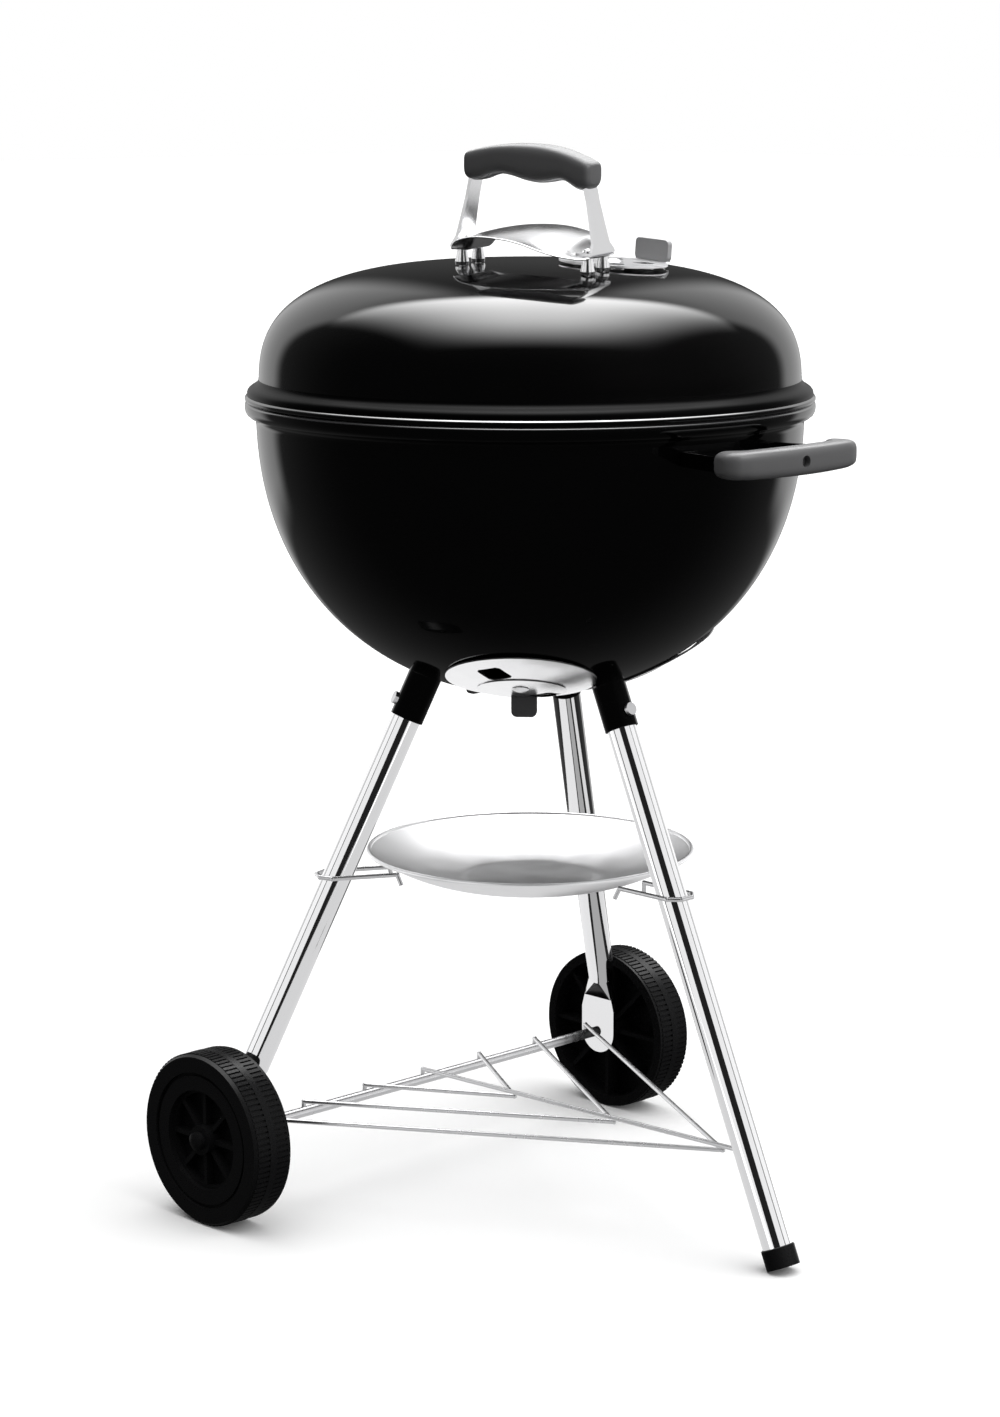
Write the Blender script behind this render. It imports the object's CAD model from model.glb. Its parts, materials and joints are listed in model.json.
import bpy, json, math
import numpy as np
from mathutils import Euler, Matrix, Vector


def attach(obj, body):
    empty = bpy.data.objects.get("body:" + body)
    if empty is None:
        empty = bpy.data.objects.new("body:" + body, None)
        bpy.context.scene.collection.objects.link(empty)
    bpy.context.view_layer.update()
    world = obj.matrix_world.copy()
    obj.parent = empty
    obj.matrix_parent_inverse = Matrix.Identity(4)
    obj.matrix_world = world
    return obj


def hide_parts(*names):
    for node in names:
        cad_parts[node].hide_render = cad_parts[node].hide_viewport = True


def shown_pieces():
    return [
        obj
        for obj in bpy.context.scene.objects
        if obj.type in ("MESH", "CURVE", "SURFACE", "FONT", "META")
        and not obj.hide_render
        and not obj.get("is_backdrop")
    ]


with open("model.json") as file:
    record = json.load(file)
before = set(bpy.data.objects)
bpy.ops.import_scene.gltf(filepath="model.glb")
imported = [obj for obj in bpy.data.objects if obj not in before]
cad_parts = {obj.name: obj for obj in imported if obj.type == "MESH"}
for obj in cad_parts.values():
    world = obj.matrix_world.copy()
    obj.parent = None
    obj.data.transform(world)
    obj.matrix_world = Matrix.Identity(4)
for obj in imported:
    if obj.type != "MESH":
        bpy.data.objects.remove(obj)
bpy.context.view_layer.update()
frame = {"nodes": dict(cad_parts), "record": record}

# ---------------------------------------------------------------- bowl
# The bowl is drawn from one steel disc and enamelled black inside and out. Its edge is rolled
# into a rim, and it has two windows under each of its three dampers. Sizes are in millimetres,
# from the kettle's upright axis, along which the lid lifts.

ROOT = "kettle_and_stand"
joints = frame["record"]["behaviour"]["joints"]
AXIS_Y = next(joint["pos_m"][1] for joint in joints if joint["name"] == "lid_lift")

BOWL_R, BOWL_TOP, BOWL_DEPTH = 235.5, 707.0, 251.0
BOWL_N, BOWL_M = 2.05, 2.25
SKIN = 1.5
DAMPER_BEARINGS = (221, 319, 90)
FLANK_R, FLANK_Z, DAMPER_R = 253.06, 709.06, 105.0
FLANK_LEAN = math.asin(DAMPER_R / FLANK_R)
WINDOW_W, WINDOW_AT, WINDOW_TURN, WINDOW_DEPTH = 23.0, 38.0, 31.0, 16


def shader(name):
    """A new material with its node tree and its Principled shader."""
    mat = bpy.data.materials.new(name)
    mat.use_nodes = True
    tree = mat.node_tree
    return mat, tree, tree.nodes["Principled BSDF"]


def finish(name, colour, metal, rough, vary, grain, relief=0.0, coat=0.0, **sockets):
    """A finish whose roughness varies, and whose relief in metres rises, with noise in Object coordinates."""
    mat, tree, bsdf = shader(name)
    bsdf.inputs["Base Color"].default_value = (*colour, 1)
    bsdf.inputs["Metallic"].default_value = metal
    noise = tree.nodes.new("ShaderNodeTexNoise")
    noise.inputs["Scale"].default_value = grain
    noise.inputs["Detail"].default_value = 3.0
    tree.links.new(tree.nodes.new("ShaderNodeTexCoord").outputs["Object"], noise.inputs["Vector"])
    spread = tree.nodes.new("ShaderNodeMapRange")
    limits = {"From Min": 0.3, "From Max": 0.7, "To Min": rough - vary, "To Max": rough + vary}
    for socket, value in limits.items():
        spread.inputs[socket].default_value = value
    tree.links.new(noise.outputs["Fac"], spread.inputs["Value"])
    tree.links.new(spread.outputs["Result"], bsdf.inputs["Roughness"])
    if coat:
        bsdf.inputs["Coat Weight"].default_value = coat
        bsdf.inputs["Coat Roughness"].default_value = 0.03
    if relief:
        bump = tree.nodes.new("ShaderNodeBump")
        bump.inputs["Distance"].default_value = relief
        tree.links.new(noise.outputs["Fac"], bump.inputs["Height"])
        tree.links.new(bump.outputs["Normal"], bsdf.inputs["Normal"])
    for socket, value in sockets.items():
        bsdf.inputs[socket.replace("_", " ")].default_value = value
    return mat


BLACK_GLASS = (0.0006, 0.0006, 0.0007)
enamel = finish("enamel", BLACK_GLASS, 0, 0.1, 0.01, 9.0, coat=1.0)
edge_gloss = finish("enamel_edge", (0.05, 0.05, 0.052), 0, 0.08, 0.01, 9.0, coat=1.0, Coat_IOR=4.6)


def dress(obj, mat):
    """Gives a piece one material."""
    obj.data.materials.clear()
    obj.data.materials.append(mat)


def soften(obj, crisp):
    """Smooth shading, with edges above an angle of crisp degrees kept sharp."""
    obj.data.shade_smooth()
    obj.data.set_sharp_from_angle(angle=math.radians(crisp))


def mesh_piece(name, verts, faces, mat, body=ROOT, slot=None, crisp=40):
    """A piece from vertices in millimetres about the kettle's axis, riding on one body."""
    points = np.asarray(verts, float) / 1000
    points[:, 1] += AXIS_Y
    mesh = bpy.data.meshes.new(name)
    mesh.from_pydata(points.tolist(), [], faces)
    mesh.update()
    obj = bpy.data.objects.new(name, mesh)
    bpy.context.scene.collection.objects.link(obj)
    dress(obj, mat)
    soften(obj, crisp)
    if body:
        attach(obj, body)
    return obj


def grid_faces(rows, cols):
    """Quads between rows of vertices, each row closed on itself."""
    row, col = np.meshgrid(np.arange(rows - 1), np.arange(cols), indexing="ij")
    a, b = row * cols + col, row * cols + (col + 1) % cols
    return np.stack([a, b, b + cols, a + cols], -1).reshape(-1, 4).tolist()


def revolve(profile, turns=320):
    """(r, z) turned about the kettle's axis: x = r cos a, y = r sin a. Points on the axis close the skin."""
    r, z = np.asarray(profile, float).T
    a = np.linspace(0, 2 * np.pi, turns, endpoint=False)
    grid = np.stack([np.outer(r, np.cos(a)), np.outer(r, np.sin(a)), np.outer(z, np.ones(turns))], -1)
    return grid.reshape(-1, 3), grid_faces(len(r), turns)


def on_axes(axes, u, v, h):
    """Points at u and v along a fitting's axes and h outward from its origin."""
    origin, x, y, out = axes
    return origin + np.multiply.outer(u, x) + np.multiply.outer(v, y) + np.multiply.outer(h, out)


def drilled(obj, cutters):
    """The piece less closed prisms, each of axes (origin, x, y, outward), outline and depth each way."""
    rings, faces = [], []
    for axes, outline, depth in cutters:
        n, base = len(outline), sum(len(end) for end in rings)
        rings += [on_axes(axes, *outline.T, np.full(n, h)) for h in (-depth, depth)]
        faces += [[base + k for k in face] for face in grid_faces(2, n)]
        faces.append(list(range(base, base + n))[::-1])
        faces.append(list(range(base + n, base + 2 * n)))
    cutter = mesh_piece("cutter", np.concatenate(rings), faces, obj.data.materials[0], body=None)
    cut = obj.modifiers.new("holes", "BOOLEAN")
    cut.operation = "DIFFERENCE"
    cut.solver = "EXACT"
    cut.object = cutter
    bpy.context.view_layer.update()
    done = bpy.data.meshes.new_from_object(obj.evaluated_get(bpy.context.evaluated_depsgraph_get()))
    obj.modifiers.remove(cut)
    whole = obj.data
    obj.data = done
    done.name = obj.name
    bpy.data.meshes.remove(whole)
    bpy.data.objects.remove(cutter)
    soften(obj, 40)
    return obj


def band(obj, mat, chosen):
    """Gives another finish to the faces whose centres' r and z pass chosen(r, z)."""
    obj.data.materials.append(mat)
    faces = obj.data.polygons
    centres = np.empty(3 * len(faces), np.float32)
    faces.foreach_get("center", centres)
    x, y, z = 1000 * (centres.reshape(-1, 3) - (0, AXIS_Y, 0)).T
    finishes = np.empty(len(faces), np.int32)
    faces.foreach_get("material_index", finishes)
    finishes[chosen(np.hypot(x, y), z)] = len(obj.data.materials) - 1
    faces.foreach_set("material_index", finishes)


def take_over(obj, body, node):
    """Rides a finished piece on its body and lets it replace its CAD node."""
    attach(obj, body)
    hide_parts(node)


def basin(off, high, steps=110):
    """Bowl profile up to height high: z = top - depth (1 - (r / R)^n)^(1/m), off outside the skin."""
    t = np.radians(np.linspace(0.3, 89.9, steps))
    r = (BOWL_R + off) * np.sin(t) ** (2 / BOWL_N)
    z = BOWL_TOP - (BOWL_DEPTH + off) * np.cos(t) ** (2 / BOWL_M)
    return [(a, b) for a, b in zip(r, z) if b < high]


def flank_axes(bearing):
    """Centre of a damper on the bowl's flank, and its axes: up the flank, sideways, outward."""
    b = math.radians(bearing)
    s, c = math.sin(FLANK_LEAN), math.cos(FLANK_LEAN)
    out = np.array([s * math.cos(b), s * math.sin(b), -c])
    up = np.array([c * math.cos(b), c * math.sin(b), s])
    return np.array([0, 0, FLANK_Z]) + FLANK_R * out, up, np.cross(out, up), out


def window():
    """A square outline with its corners rounded: five points on each corner's arc about the middle."""
    turns = np.radians([45 + 90 * corner + d for corner in range(4) for d in (-8.7, -4, 0, 4, 8.7)])
    return 0.62 * WINDOW_W * np.column_stack([np.cos(turns), np.sin(turns)])


# The rim's section goes out over the bead, round its top and in to the bowl's mouth.
bowl_rim = [(235.5, 694.6), (236.3, 695.7), (238.2, 696.9), (240.8, 698.2), (243.0, 700.0), (244.3, 702.2),
            (244.85, 704.6), (244.9, 707.2), (244.75, 708.5), (244.3, 709.3), (243.6, 709.95), (242.7, 710.5),
            (241.6, 710.85), (240.0, 711.0), (234.6, 711.0), (234.0, 710.4)]
outside = [(0.0, BOWL_TOP - BOWL_DEPTH)] + basin(0, 693)
inside = basin(-SKIN, 708)[::-1] + [(0.0, BOWL_TOP - BOWL_DEPTH + SKIN)]
bowl = mesh_piece("bowl_body", *revolve(outside + bowl_rim + inside), enamel, body=None)
cuts = []
for bearing in DAMPER_BEARINGS:
    centre, up, side, out = flank_axes(bearing)
    for turn in (WINDOW_TURN, WINDOW_TURN + 180):
        a = math.radians(turn)
        arm = up * math.cos(a) + side * math.sin(a)
        cuts.append(((centre + WINDOW_AT * arm, arm, np.cross(out, arm), out), window(), WINDOW_DEPTH))
bowl = drilled(bowl, cuts)
band(bowl, edge_gloss, lambda r, z: (r > 241.0) & (z > 708.8))
take_over(bowl, ROOT, "bowl_shell")

# ---------------------------------------------------------------- dampers
# Three aluminium discs turn on rivets under the bowl's windows. Each has a moulded nylon tab,
# riveted on, to turn it by.

disc_metal = finish("damper_aluminium", (0.84, 0.84, 0.85), 1, 0.24, 0.03, 50.0)
spun = finish("spun_aluminium", (0.86, 0.86, 0.87), 1, 0.36, 0.03, 50.0)
nylon = finish("grey_nylon", (0.105, 0.105, 0.107), 0, 0.4, 0.06, 900.0, relief=0.00006)
nodes = frame["nodes"]


def finish_nodes(mat, *names):
    """Dresses the CAD's own nodes and smooths their shading."""
    for name in names:
        dress(nodes[name], mat)
        soften(nodes[name], 32)


finish_nodes(disc_metal, "damper_left", "damper_right", "damper_rear")
finish_nodes(spun, "damper_rivets")
finish_nodes(nylon, "damper_tab_left", "damper_tab_right", "damper_tab_rear")

# ---------------------------------------------------------------- grates
# Two grates of welded steel wire, plated bright. The cooking grate has two loops to lift it by,
# and both rest on brackets welded inside the bowl.

plated = finish("plated_wire", (0.6, 0.6, 0.61), 1, 0.3, 0.06, 120.0)
finish_nodes(plated, "grate_brackets", "cooking_grate", "grate_loops", "charcoal_grate")

# ---------------------------------------------------------------- legs
# Chromed steel tubes, pushed into enamelled sockets that are welded to the bowl and held there
# by plated screws. The front leg ends in a moulded cap.

chrome = finish("chrome", (0.9, 0.9, 0.91), 1, 0.06, 0.01, 30.0)
black_plastic = finish("black_plastic", (0.007, 0.007, 0.0075), 0, 0.3, 0.05, 700.0, relief=0.00003)
finish_nodes(enamel, "leg_socket_front", "leg_socket_left", "leg_socket_right")
finish_nodes(plated, "socket_screws")
finish_nodes(chrome, "leg_front", "leg_left", "leg_right")
finish_nodes(black_plastic, "foot_cap")

# ---------------------------------------------------------------- wheels, axle and rack
# Moulded plastic wheels with pressed-on hub caps turn on a plated steel axle, with a washer
# beside each leg. A rack of plated wire ties the three legs together.

finish_nodes(black_plastic, "wheel_left", "wheel_right", "hub_caps")
finish_nodes(plated, "axle", "axle_washers", "bottom_rack")

# ---------------------------------------------------------------- ash plate
# A spun aluminium dish with a rolled edge, a deep flank and a pressed circle round its flat
# floor. It lies loose on three clips of plated wire, one on each leg.

PLATE_Z, PLATE_DEPTH = 314.5, 31.0
DISH_R, ROLL_R, ROLL_AT, PLATE_SKIN = 141.0, 2.0, (142.0, 315.0), 1.2


def dish(r):
    """Height of the dish's underside at radius r: rim height less depth (1 - (r / R)^3)."""
    return PLATE_Z - PLATE_DEPTH * (1 - (min(r, DISH_R) / DISH_R) ** 3)


floor_z = dish(66.0) + 2
# The pressed circle is a step of about 2 mm between radius 54 and 67, under and over the sheet.
under = [(0.0, floor_z), (40.0, floor_z), (54.0, floor_z - 0.1), (57.5, floor_z - 0.5), (60.0, floor_z - 1.3),
         (63.0, floor_z - 1.8), (67.0, dish(67.0))]
under += [(r, dish(r)) for r in np.linspace(70, 139.5, 40)]
roll = [(ROLL_AT[0] + ROLL_R * math.cos(a), ROLL_AT[1] + ROLL_R * math.sin(a))
        for a in np.radians(range(-100, 196, 15))]
over = [(r, dish(r) + PLATE_SKIN) for r in np.linspace(138.9, 70, 40)]
over += [(66.5, dish(66.5) + 1.3), (62.7, floor_z - 0.5), (59.6, floor_z), (57.0, floor_z + 0.7),
         (54.0, floor_z + 1.1), (40.0, floor_z + PLATE_SKIN), (0.0, floor_z + PLATE_SKIN)]
plate = mesh_piece("ash_dish", *revolve(under + roll + over, 240), spun, "ash_plate", "alloy")
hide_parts("ash_plate")
finish_nodes(plated, "ash_clip_front", "ash_clip_left", "ash_clip_right")

# ---------------------------------------------------------------- side handle
# A moulded nylon bar, bent along the bowl, whose ends turn back a little towards it. One screw
# in a deep hole holds it to an enamelled bracket that is welded under the bowl's rim.

BAR_Z, BAR_OUT, BAR_IN, BAR_MID = 681.0, 310.9, 288.2, 299.5
BAR_HALF_L, BAR_HALF_H, BAR_SQUARE = 81.0, 11.8, 0.56
BAR_ROUND, BAR_TURN_FROM, BAR_TURN_IN = 70.0, 55.0, 8.5
BAR_TAPER_FROM, BAR_TAPER = 58.0, 5.0
BAR_BEARING, SCREW_BEARING = math.radians(-88.6), math.radians(-89.3)
SCREW_HOLE_R, SCREW_HOLE_DEPTH = 4.9, 6


def ring(radius, n=40):
    """A round outline."""
    turns = np.linspace(0, 2 * np.pi, n, endpoint=False)
    return radius * np.column_stack([np.cos(turns), np.sin(turns)])


def ease(t):
    """3 t^2 - 2 t^3, held between 0 and 1."""
    t = np.clip(t, 0, 1)
    return t * t * (3 - 2 * t)


def squared(turns, power):
    """Cosine and sine of the turns, each raised to power with its sign kept: a circle squared off."""
    c, s = np.cos(turns), np.sin(turns)
    return np.sign(c) * np.abs(c) ** power, np.sign(s) * np.abs(s) ** power


def loft(name, sections, mat, body, slot, crisp=60):
    """A closed skin through a row of (n, 3) sections, with flat-filled ends."""
    rows, n = len(sections), len(sections[0])
    faces = grid_faces(rows, n)
    faces.append(tuple(reversed(range(n))))
    faces.append(tuple(range((rows - 1) * n, rows * n)))
    return mesh_piece(name, np.concatenate(sections), faces, mat, body, slot, crisp)


def shrinking(s, start, end):
    """1 up to start, then down a quarter ellipse to 0 at end."""
    return math.sqrt(max(0.0, 1 - max(0.0, (s - start) / (end - start)) ** 2))


def bar_section(s, n=64):
    """Squared oval at s along the bar: both ends shrink, and near them the faces turn in to the bowl."""
    a = abs(s)
    full = shrinking(a, BAR_ROUND, BAR_HALF_L)
    inner = BAR_IN - BAR_TURN_IN * ease((a - BAR_TURN_FROM) / (BAR_ROUND - BAR_TURN_FROM))
    outer = BAR_OUT - BAR_TAPER * max(0.0, (a - BAR_TAPER_FROM) / (BAR_HALF_L - BAR_TAPER_FROM)) ** 2
    half_w = (outer - inner) / 2 * (0.35 + 0.65 * full)
    half_h = (BAR_HALF_H - 0.8 * (a / BAR_HALF_L) ** 2) * (0.45 + 0.55 * full)
    c, d = squared(np.linspace(0, 2 * np.pi, n, endpoint=False), BAR_SQUARE)
    r = (inner + outer) / 2 + half_w * c
    bearing = BAR_BEARING + s / BAR_MID
    return np.column_stack([r * np.cos(bearing), r * np.sin(bearing), BAR_Z + half_h * d])


end_steps = BAR_ROUND + (BAR_HALF_L - BAR_ROUND) * np.sin(np.radians(np.linspace(0, 90, 12)))
steps = np.concatenate([-end_steps[::-1], np.linspace(-69, 69, 90), end_steps])
bar = loft("side_grip_body", [bar_section(s) for s in steps], nylon, None, None)
upright = np.array([0.0, 0.0, 1.0])
outward = np.array([math.cos(SCREW_BEARING), math.sin(SCREW_BEARING), 0])
screw_axes = (BAR_OUT * outward + BAR_Z * upright, upright, np.cross(outward, upright), outward)
bar = drilled(bar, [(screw_axes, ring(SCREW_HOLE_R), SCREW_HOLE_DEPTH)])
take_over(bar, ROOT, "side_handle_grip")
finish_nodes(enamel, "side_handle_bracket")
finish_nodes(nylon, "side_handle_screw")

# ---------------------------------------------------------------- lid
# The lid is one deep-drawn steel dome, enamelled like the bowl, with a rolled rim that stands
# out over the bowl's. Four vent holes are punched in it.

LID_R, LID_BASE, LID_RISE = 232.8, 722.0, 108.0
LID_N, LID_M = 2.99, 2.77
VENT_R, VENT_BEARING = 81.6, -75.6
VENT_HOLE_R, VENT_HOLES_AT, VENT_HOLE_DEPTH = 9.0, 25.3, 12
HANDLE_R, HANDLE_BEARING, HANDLE_TURN = 79.0, 226.5, -74.6

flange = finish("enamel_in_shade", BLACK_GLASS, 0, 0.3, 0.02, 9.0, Specular_IOR_Level=0.12)


def dome(off, low, steps=90):
    """Dome profile down to height low: z = base + rise (1 - (r / R)^n)^(1/m), off outside the skin."""
    t = np.radians(np.linspace(0.4, 90, steps))
    r = (LID_R + off) * np.sin(t) ** (2 / LID_N)
    z = LID_BASE + (LID_RISE + off) * np.cos(t) ** (2 / LID_M)
    return [(a, b) for a, b in zip(r, z) if b > low]


def lid_high(r):
    """Height of the dome's outside at radius r."""
    return LID_BASE + LID_RISE * (1 - (r / LID_R) ** LID_N) ** (1 / LID_M)


def lid_axes(r, bearing, turn):
    """Origin and axes (x, y, outward) of a fitting that stands square on the dome."""
    lean = math.atan((lid_high(r) - lid_high(r + 0.5)) / 0.5)
    b, t = math.radians(bearing), math.radians(turn - bearing)
    out = np.array([math.sin(lean) * math.cos(b), math.sin(lean) * math.sin(b), math.cos(lean)])
    down = np.array([math.cos(lean) * math.cos(b), math.cos(lean) * math.sin(b), -math.sin(lean)])
    x = down * math.cos(t) + np.cross(out, down) * math.sin(t)
    return np.array([r * math.cos(b), r * math.sin(b), lid_high(r)]), x, np.cross(out, x), out


# The rim's section goes out along the flange, over the bead, and up inside to the skin.
lid_rim = [(232.95, 729.4), (233.4, 727.9), (234.6, 726.2), (236.6, 724.6), (239.0, 723.2), (241.2, 721.6),
           (242.5, 719.8), (242.9, 718.0), (242.9, 716.3), (243.0, 715.9), (243.5, 715.55), (244.1, 715.1),
           (244.6, 714.5), (244.85, 713.7), (244.85, 712.7), (244.5, 711.8), (243.8, 711.35), (238.5, 711.3),
           (238.0, 712.0), (238.0, 716.5), (237.4, 719.0), (235.5, 721.5), (232.6, 724.5), (231.4, 728.5)]
outside = [(0.0, LID_BASE + LID_RISE)] + dome(0, 730)
inside = dome(-SKIN, 730)[::-1] + [(0.0, LID_BASE + LID_RISE - SKIN)]
lid = mesh_piece("lid_dome", *revolve(outside + lid_rim + inside), enamel, body=None)
vent_at, vent_x, vent_y, vent_out = lid_axes(VENT_R, VENT_BEARING, 0)
cuts = []
for turn in (45, 135, 225, 315):
    a = math.radians(turn)
    hole = vent_at + VENT_HOLES_AT * (math.cos(a) * vent_x + math.sin(a) * vent_y)
    cuts.append(((hole, vent_x, vent_y, vent_out), ring(VENT_HOLE_R), VENT_HOLE_DEPTH))
lid = drilled(lid, cuts)
band(lid, flange, lambda r, z: (r > 232.9) & (z > 716))
band(lid, edge_gloss, lambda r, z: (r > 242.9) & (z > 714.2) & (z <= 716))
take_over(lid, "lid", "lid_shell")

# ---------------------------------------------------------------- strap and heat shield
# A bent steel strap stands on the lid, and under it a pressed sheet, arched between two level
# seats, keeps the lid's heat off the hand. The same bolts clamp both.

SHIELD_HALF_L, SHIELD_HALF_W, SHIELD_POWER, SHIELD_SKIN = 69.6, 41.2, 2.8, 1.2
SEAT_HIGH, BULGE = 12.0, 3.6
handle_axes = lid_axes(HANDLE_R, HANDLE_BEARING, HANDLE_TURN)
strap_steel = finish("steel_strap", (0.82, 0.82, 0.83), 1, 0.22, 0.03, 60.0)

# Heights of the sheet's two long edges above the dome, by place along the strap.
NEAR_EDGE = [(-70, 12), (-66, 13.5), (-56, 19), (-41, 23.6), (-24, 25.6), (-11, 25.4), (1, 24.4), (14, 21.8),
             (31, 16.4), (45, 12.2), (54, 10.2), (63, 8.6), (70, 8)]
FAR_EDGE = [(-70, 12), (-60, 15.5), (-45, 22.4), (-32, 26.4), (-17, 29.2), (-5, 30), (8, 29.7), (31, 26.4),
            (49, 21.8), (58, 17), (64, 12.9), (70, 10.5)]


def smooth(at, knots):
    """Cubic Hermite curve through (x, y) knots, with central slopes, read at the x positions in at."""
    k = np.asarray(knots, float)
    slopes = np.gradient(k[:, 1], k[:, 0])
    i = np.clip(np.searchsorted(k[:, 0], at) - 1, 0, len(k) - 2)
    gap = k[i + 1, 0] - k[i, 0]
    t = np.clip((at - k[i, 0]) / gap, 0, 1)
    return ((2 * t ** 3 - 3 * t ** 2 + 1) * k[i, 1] + (t ** 3 - 2 * t ** 2 + t) * gap * slopes[i]
            + (3 * t ** 2 - 2 * t ** 3) * k[i + 1, 1] + (t ** 3 - t ** 2) * gap * slopes[i + 1])


def shield_outline(n=180):
    """Superellipse |u / a|^p + |v / b|^p = 1."""
    c, d = squared(np.linspace(0, 2 * np.pi, n, endpoint=False), 2 / SHIELD_POWER)
    return np.column_stack([SHIELD_HALF_L * c, SHIELD_HALF_W * d])


def arch(u, v):
    """Height of the sheet: its edges' curves blended across, with a low bulge, and level at the bolts."""
    far = (v + 41) / 82
    bulge = BULGE * (1 - (v / 41) ** 2) * (1 - (u / 70) ** 2)
    free = smooth(u, NEAR_EDGE) * (1 - far) + smooth(u, FAR_EDGE) * far + bulge
    seat = ease((np.abs(u) - 40) / 13) * (1 - ease((np.abs(v) - 17) / 14))
    return free * (1 - seat) + SEAT_HIGH * seat


def sheet_piece(name, outline, rise, thick, mat, axes, body, slot, rings=40):
    """A thin sheet: its outline shrunk in rings to the middle and lifted by rise(u, v), its edge rounded."""
    n = len(outline)
    flat = np.concatenate([outline * k for k in np.linspace(0.02, 1, rings)])
    lift = rise(*flat.T)
    edge = outline * (1 + 0.35 * thick / np.linalg.norm(outline, axis=1))[:, None]
    upper = np.column_stack([flat, lift + thick])
    mid = np.column_stack([edge, rise(*outline.T) + thick / 2])
    lower = np.column_stack([flat, lift]).reshape(rings, n, 3)[::-1].reshape(-1, 3)
    points = on_axes(axes, *np.concatenate([upper, mid, lower]).T)
    faces = grid_faces(2 * rings + 1, n)
    faces.append(tuple(range(n)))
    faces.append(tuple(reversed(range(2 * rings * n, (2 * rings + 1) * n))))
    return mesh_piece(name, points, faces, mat, body, slot, crisp=50)


shield = sheet_piece("heat_shield_sheet", shield_outline(), arch, SHIELD_SKIN, strap_steel, handle_axes,
                     "lid", "strap")
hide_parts("heat_shield")
finish_nodes(strap_steel, "lid_strap", "lid_bolts")

# ---------------------------------------------------------------- lid grip
# Nylon moulded round the strap: an arched crown, a lobe over each end of the strap and finger
# hollows under it.

GRIP_HALF_L, GRIP_HALF_W, GRIP_TOP, GRIP_ROUND = 60.0, 14.8, 100.9, 0.93
GRIP_FALL_LEFT, GRIP_FALL_RIGHT = 8.5, 13.5
# Height of the grip's underside above the dome, by place along the strap.
BELLY = [(-60, 72.0), (-56, 69.8), (-50, 69.2), (-43, 70.4), (-35, 73.4), (-25, 75.4), (-14, 74.0),
         (-2, 71.0), (10, 69.6), (21, 70.6), (29, 72.2), (35, 72.2), (41, 69.3), (46, 66.4), (51, 65.2),
         (56, 66.2), (60, 69.5)]


def grip_section(u, n=72):
    """Squared oval at u along the grip, flatter above than below; both ends shrink."""
    s = abs(u) / GRIP_HALF_L
    full = shrinking(s, GRIP_ROUND, 1.0)
    top = GRIP_TOP - (GRIP_FALL_LEFT if u < 0 else GRIP_FALL_RIGHT) * s ** 2.2
    belly = float(smooth(np.array([u]), BELLY)[0])
    half_w = GRIP_HALF_W * (1 - 0.1 * s ** 2) * (0.6 + 0.4 * full)
    half_h = (top - belly) / 2 * (0.8 + 0.2 * full)
    turns = np.linspace(0, 2 * np.pi, n, endpoint=False)
    c, d = squared(turns, np.where(np.sin(turns) > 0, 2 / 4.4, 2 / 3.0))
    return on_axes(handle_axes, np.full(n, u), half_w * c, (top + belly) / 2 + half_h * d)


end_steps = np.array([58.4, 59.1, 59.6, 59.9, GRIP_HALF_L])
steps = np.concatenate([-end_steps[::-1], np.linspace(-57.5, 57.5, 70), end_steps])
grip = loft("lid_grip_body", [grip_section(u) for u in steps], nylon, "lid", "nylon")
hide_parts("lid_grip")

# ---------------------------------------------------------------- lid vent
# An aluminium disc turns on a rivet over the lid's vent holes. A paler nylon tab is fixed to
# its edge.

pale_nylon = finish("pale_nylon", (0.34, 0.34, 0.345), 0, 0.4, 0.05, 900.0, relief=0.00004)
finish_nodes(spun, "lid_vent_plate", "lid_vent_rivet")
finish_nodes(pale_nylon, "lid_vent_tab")

# ---------------------------------------------------------------- camera
# A long lens at the front left, a little above the lid's grip, that looks down at the kettle.

SENSOR_W, LENS, SHIFT_X = 36.0, 87.12775, -0.0213126
BEARING, PITCH = math.radians(-44.62), math.radians(10.5)
CAMERA_FAR, CAMERA_HIGH = 2.9499, 0.9865
RIGHT = Vector((math.cos(BEARING), math.sin(BEARING), 0))
AWAY = Vector((-math.sin(BEARING), math.cos(BEARING), 0))
UP = Vector((0, 0, 1))


def place(side, depth, z):
    """A point in metres to the camera's right of, beyond and above the kettle's axis at the ground."""
    return side * RIGHT + depth * AWAY + z * UP + Vector((0, AXIS_Y, 0))


lens = bpy.data.cameras.new("camera")
lens.sensor_width = SENSOR_W
lens.lens = LENS
lens.shift_x = SHIFT_X
lens.clip_end = 100
camera = bpy.data.objects.new("camera", lens)
bpy.context.scene.collection.objects.link(camera)
bpy.context.scene.camera = camera
camera.location = place(0, -CAMERA_FAR, CAMERA_HIGH)
camera.rotation_mode = "QUATERNION"
camera.rotation_quaternion = (AWAY * math.cos(PITCH) - UP * math.sin(PITCH)).to_track_quat("-Z", "Y")

# ---------------------------------------------------------------- floor
# A plain floor that looks white and keeps the kettle's shadow. To light that bounces it is grey,
# so that the undersides stay dark, and gloss doesn't see it.

FLOOR_GREY, FLOOR_GLOW = 0.15, 0.01

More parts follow.
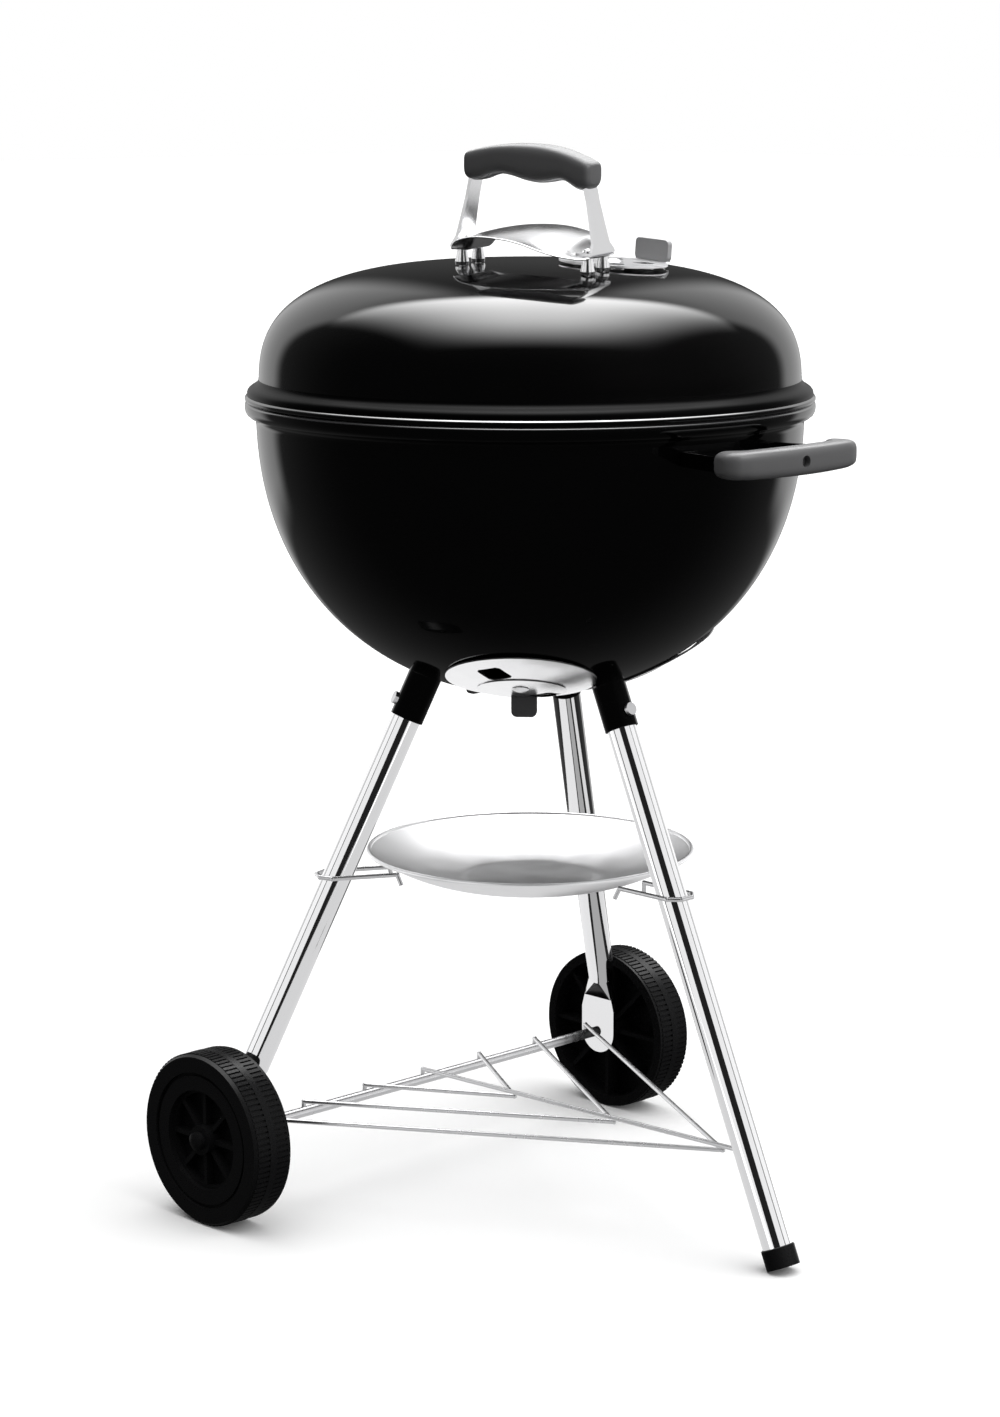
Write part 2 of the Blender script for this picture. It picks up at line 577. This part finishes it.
bpy.ops.mesh.primitive_plane_add(size=60, location=(0, 0, 0))
floor = bpy.context.object
floor.name = "floor"
floor_paint, tree, grey = shader("floor")
grey.inputs["Base Color"].default_value = (FLOOR_GREY, FLOOR_GREY, FLOOR_GREY, 1)
grey.inputs["Roughness"].default_value = 0.9
grey.inputs["Specular IOR Level"].default_value = 0.0
white = tree.nodes.new("ShaderNodeBsdfDiffuse")
white.inputs["Color"].default_value = (1, 1, 1, 1)
glow = tree.nodes.new("ShaderNodeEmission")
glow.inputs["Strength"].default_value = FLOOR_GLOW
bright_white = tree.nodes.new("ShaderNodeAddShader")
tree.links.new(white.outputs[0], bright_white.inputs[0])
tree.links.new(glow.outputs[0], bright_white.inputs[1])
pick = tree.nodes.new("ShaderNodeMixShader")
tree.links.new(tree.nodes.new("ShaderNodeLightPath").outputs["Is Camera Ray"], pick.inputs["Fac"])
tree.links.new(grey.outputs[0], pick.inputs[1])
tree.links.new(bright_white.outputs[0], pick.inputs[2])
tree.links.new(pick.outputs[0], tree.nodes["Material Output"].inputs["Surface"])
dress(floor, floor_paint)
floor.visible_glossy = False
floor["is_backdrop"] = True

# ---------------------------------------------------------------- sky
# The camera sees plain white. Matt surfaces get a soft white sky, fuller overhead and on the
# near right. Gloss sees a dark studio with a panel overhead and a tall strip behind each side.

PANEL_LEVEL, STRIP_LEVEL, FAR_WALL_LEVEL, ROOM_LEVEL = 5.2, 0.44, 0.036, 0.015
OVERHEAD_LEVEL, KEY_LEVEL, FILL_LEVEL = 2.1, 1.6, 0.07
# Each edge fades from its first value to its second: radians of climb or turn, or a direction's part.
PANEL_FAR, PANEL_NEAR, PANEL_SIDES, PANEL_MIDDLE = (0.80, 0.93), (2.25, 1.35), (0.72, 0.05), 0.03
STRIP_INNER, STRIP_OUTER, STRIP_FOOT, STRIP_HEAD = (0.10, 0.24), (0.92, 0.72), (-0.34, -0.2), (0.85, 0.6)
FAR_WALL, OVERHEAD, KEY = (-0.2, 0.9), (0.48, 1.0), (0.35, 0.95)

bpy.context.scene.view_settings.view_transform = "Standard"
world = bpy.data.worlds.new("world")
bpy.context.scene.world = world
world.use_nodes = True
tree = world.node_tree
tree.nodes.clear()
sky = tree.nodes.new("ShaderNodeTexCoord")
path = tree.nodes.new("ShaderNodeLightPath")


def calc(op, a, b=None):
    """One math node on sockets or numbers; returns its result."""
    node = tree.nodes.new("ShaderNodeMath")
    node.operation = op
    for socket, value in zip(node.inputs, (a, b)):
        if isinstance(value, (int, float)):
            socket.default_value = value
        elif value is not None:
            tree.links.new(value, socket)
    return node.outputs[0]


def step(value, low, high):
    """0 below low, 1 above high, smooth between; falls instead where low is above high."""
    node = tree.nodes.new("ShaderNodeMapRange")
    node.interpolation_type = "SMOOTHSTEP"
    falls = low > high
    limits = {"From Min": min(low, high), "From Max": max(low, high), "To Min": float(falls),
              "To Max": float(not falls)}
    for socket, limit in limits.items():
        node.inputs[socket].default_value = limit
    tree.links.new(value, node.inputs["Value"])
    return node.outputs["Result"]


def along(direction):
    """The looked-at direction's part along one axis."""
    node = tree.nodes.new("ShaderNodeVectorMath")
    node.operation = "DOT_PRODUCT"
    tree.links.new(sky.outputs["Generated"], node.inputs[0])
    node.inputs[1].default_value = direction
    return node.outputs["Value"]


def backdrop(strength):
    """A white background of that strength."""
    node = tree.nodes.new("ShaderNodeBackground")
    node.inputs["Color"].default_value = (1, 1, 1, 1)
    tree.links.new(strength, node.inputs["Strength"])
    return node.outputs["Background"]


to_right, to_far, to_top = along(RIGHT), along(AWAY), along(UP)
climb = calc("ARCTAN2", to_top, to_far)
turn = calc("ABSOLUTE", calc("ARCTAN2", to_right, to_far))
sideways = calc("ABSOLUTE", calc("SUBTRACT", to_right, PANEL_MIDDLE))
panel = calc("MULTIPLY", step(climb, *PANEL_FAR), step(climb, *PANEL_NEAR))
panel = calc("MULTIPLY", panel, step(sideways, *PANEL_SIDES))
strips = calc("MULTIPLY", step(turn, *STRIP_INNER), step(turn, *STRIP_OUTER))
strips = calc("MULTIPLY", strips, calc("MULTIPLY", step(to_top, *STRIP_FOOT), step(to_top, *STRIP_HEAD)))
studio = calc("ADD", calc("MULTIPLY", panel, PANEL_LEVEL), calc("MULTIPLY", strips, STRIP_LEVEL))
studio = calc("ADD", studio, calc("MULTIPLY", step(to_far, *FAR_WALL), FAR_WALL_LEVEL))
studio = calc("ADD", studio, ROOM_LEVEL)

to_key = along(0.93 * RIGHT - 0.25 * AWAY + 0.27 * UP)
soft = calc("MULTIPLY", step(to_top, *OVERHEAD), OVERHEAD_LEVEL)
soft = calc("ADD", soft, calc("MULTIPLY", step(to_key, *KEY), KEY_LEVEL))
soft = calc("ADD", soft, FILL_LEVEL)

mixer = tree.nodes.new("ShaderNodeMixShader")
tree.links.new(path.outputs["Is Glossy Ray"], mixer.inputs["Fac"])
tree.links.new(backdrop(calc("MAXIMUM", soft, path.outputs["Is Camera Ray"])), mixer.inputs[1])
tree.links.new(backdrop(studio), mixer.inputs[2])
tree.links.new(mixer.outputs["Shader"], tree.nodes.new("ShaderNodeOutputWorld").inputs["Surface"])

# ---------------------------------------------------------------- cards
# White cards round the kettle, each lighting one kind of piece: the bright metal, the dampers
# under the bowl, the rear leg, or the nylon.

CARD_FAR = 2.6
BRIGHT_METALS = ("steel_strap", "spun_aluminium", "plated_wire", "chrome")

bright = bpy.data.collections.new("bright_metal")
grips = bpy.data.collections.new("grips")
dampers = bpy.data.collections.new("dampers")
rear_leg = bpy.data.collections.new("rear_leg")
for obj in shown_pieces():
    finishes = [m.name for m in obj.data.materials if m]
    if obj.name == "leg_right":
        rear_leg.objects.link(obj)
    elif "damper_aluminium" in finishes:
        dampers.objects.link(obj)
    elif any(f in BRIGHT_METALS for f in finishes):
        bright.objects.link(obj)
    if "grey_nylon" in finishes or "pale_nylon" in finishes:
        grips.objects.link(obj)


def card(name, where, at, size, level, lit=bright):
    """A white card that faces a point: an area lamp of that radiance, which lights one collection alone."""
    data = bpy.data.lights.new(name, "AREA")
    data.shape = "RECTANGLE"
    data.size, data.size_y = size
    data.energy = level * math.pi * size[0] * size[1]
    lamp = bpy.data.objects.new(name, data)
    bpy.context.scene.collection.objects.link(lamp)
    lamp.location = where
    lamp.rotation_mode = "QUATERNION"
    lamp.rotation_quaternion = (at - where).to_track_quat("-Z", "Y")
    lamp.light_linking.receiver_collection = lit
    lamp.visible_camera = False
    lamp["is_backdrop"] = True
    return lamp


for side, hand in ((-1, "left"), (1, "right")):
    for n, (turned, level) in enumerate(((42, 0.9), (88, 1.0), (132, 0.75))):
        a = math.radians(turned)
        spot = place(side * CARD_FAR * math.sin(a), -CARD_FAR * math.cos(a), 0.75)
        card(f"card_{hand}_{n}", spot, place(0, 0, 0.5), (1.9, 2.3), level)
card("top_card", place(-0.2, 1.2, 2.6), place(0, 0, 0.8), (2.4, 2.0), 0.85)
card("low_card", place(0, 0.6, 0.01), place(0, 0.6, 1), (4.0, 4.0), 0.7)
card("damper_card", place(0, 1.5, 0.012), place(0, 1.5, 1), (3.6, 2.1), 1.0, dampers)
card("grip_card_far", place(0.3, 1.7, 2.3), place(0, 0, 0.8), (2.2, 1.6), 4.0, grips)
card("grip_card_right", place(1.7, -0.7, 2.3), place(0.3, 0, 0.7), (1.3, 1.3), 3.5, grips)

# The rear leg leans towards the camera, so it mirrors the floor: three strips with dark between.
facing_up = Euler((math.pi, 0, BEARING)).to_quaternion()
for n, (side, wide, level) in enumerate(((-0.2, 0.4, 0.85), (0.15, 0.22, 0.4), (0.48, 0.24, 0.75))):
    spot = place(side, -0.1, 0.011)
    strip = card(f"leg_card_{n}", spot, spot + UP, (wide, 1.8), level, rear_leg)
    strip.rotation_quaternion = facing_up

# The chrome, the wires and the ash plate would speckle the enamel, so gloss doesn't see them.
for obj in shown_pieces():
    if any(m and m.name in ("chrome", "plated_wire") for m in obj.data.materials):
        obj.visible_glossy = False
plate.visible_glossy = False
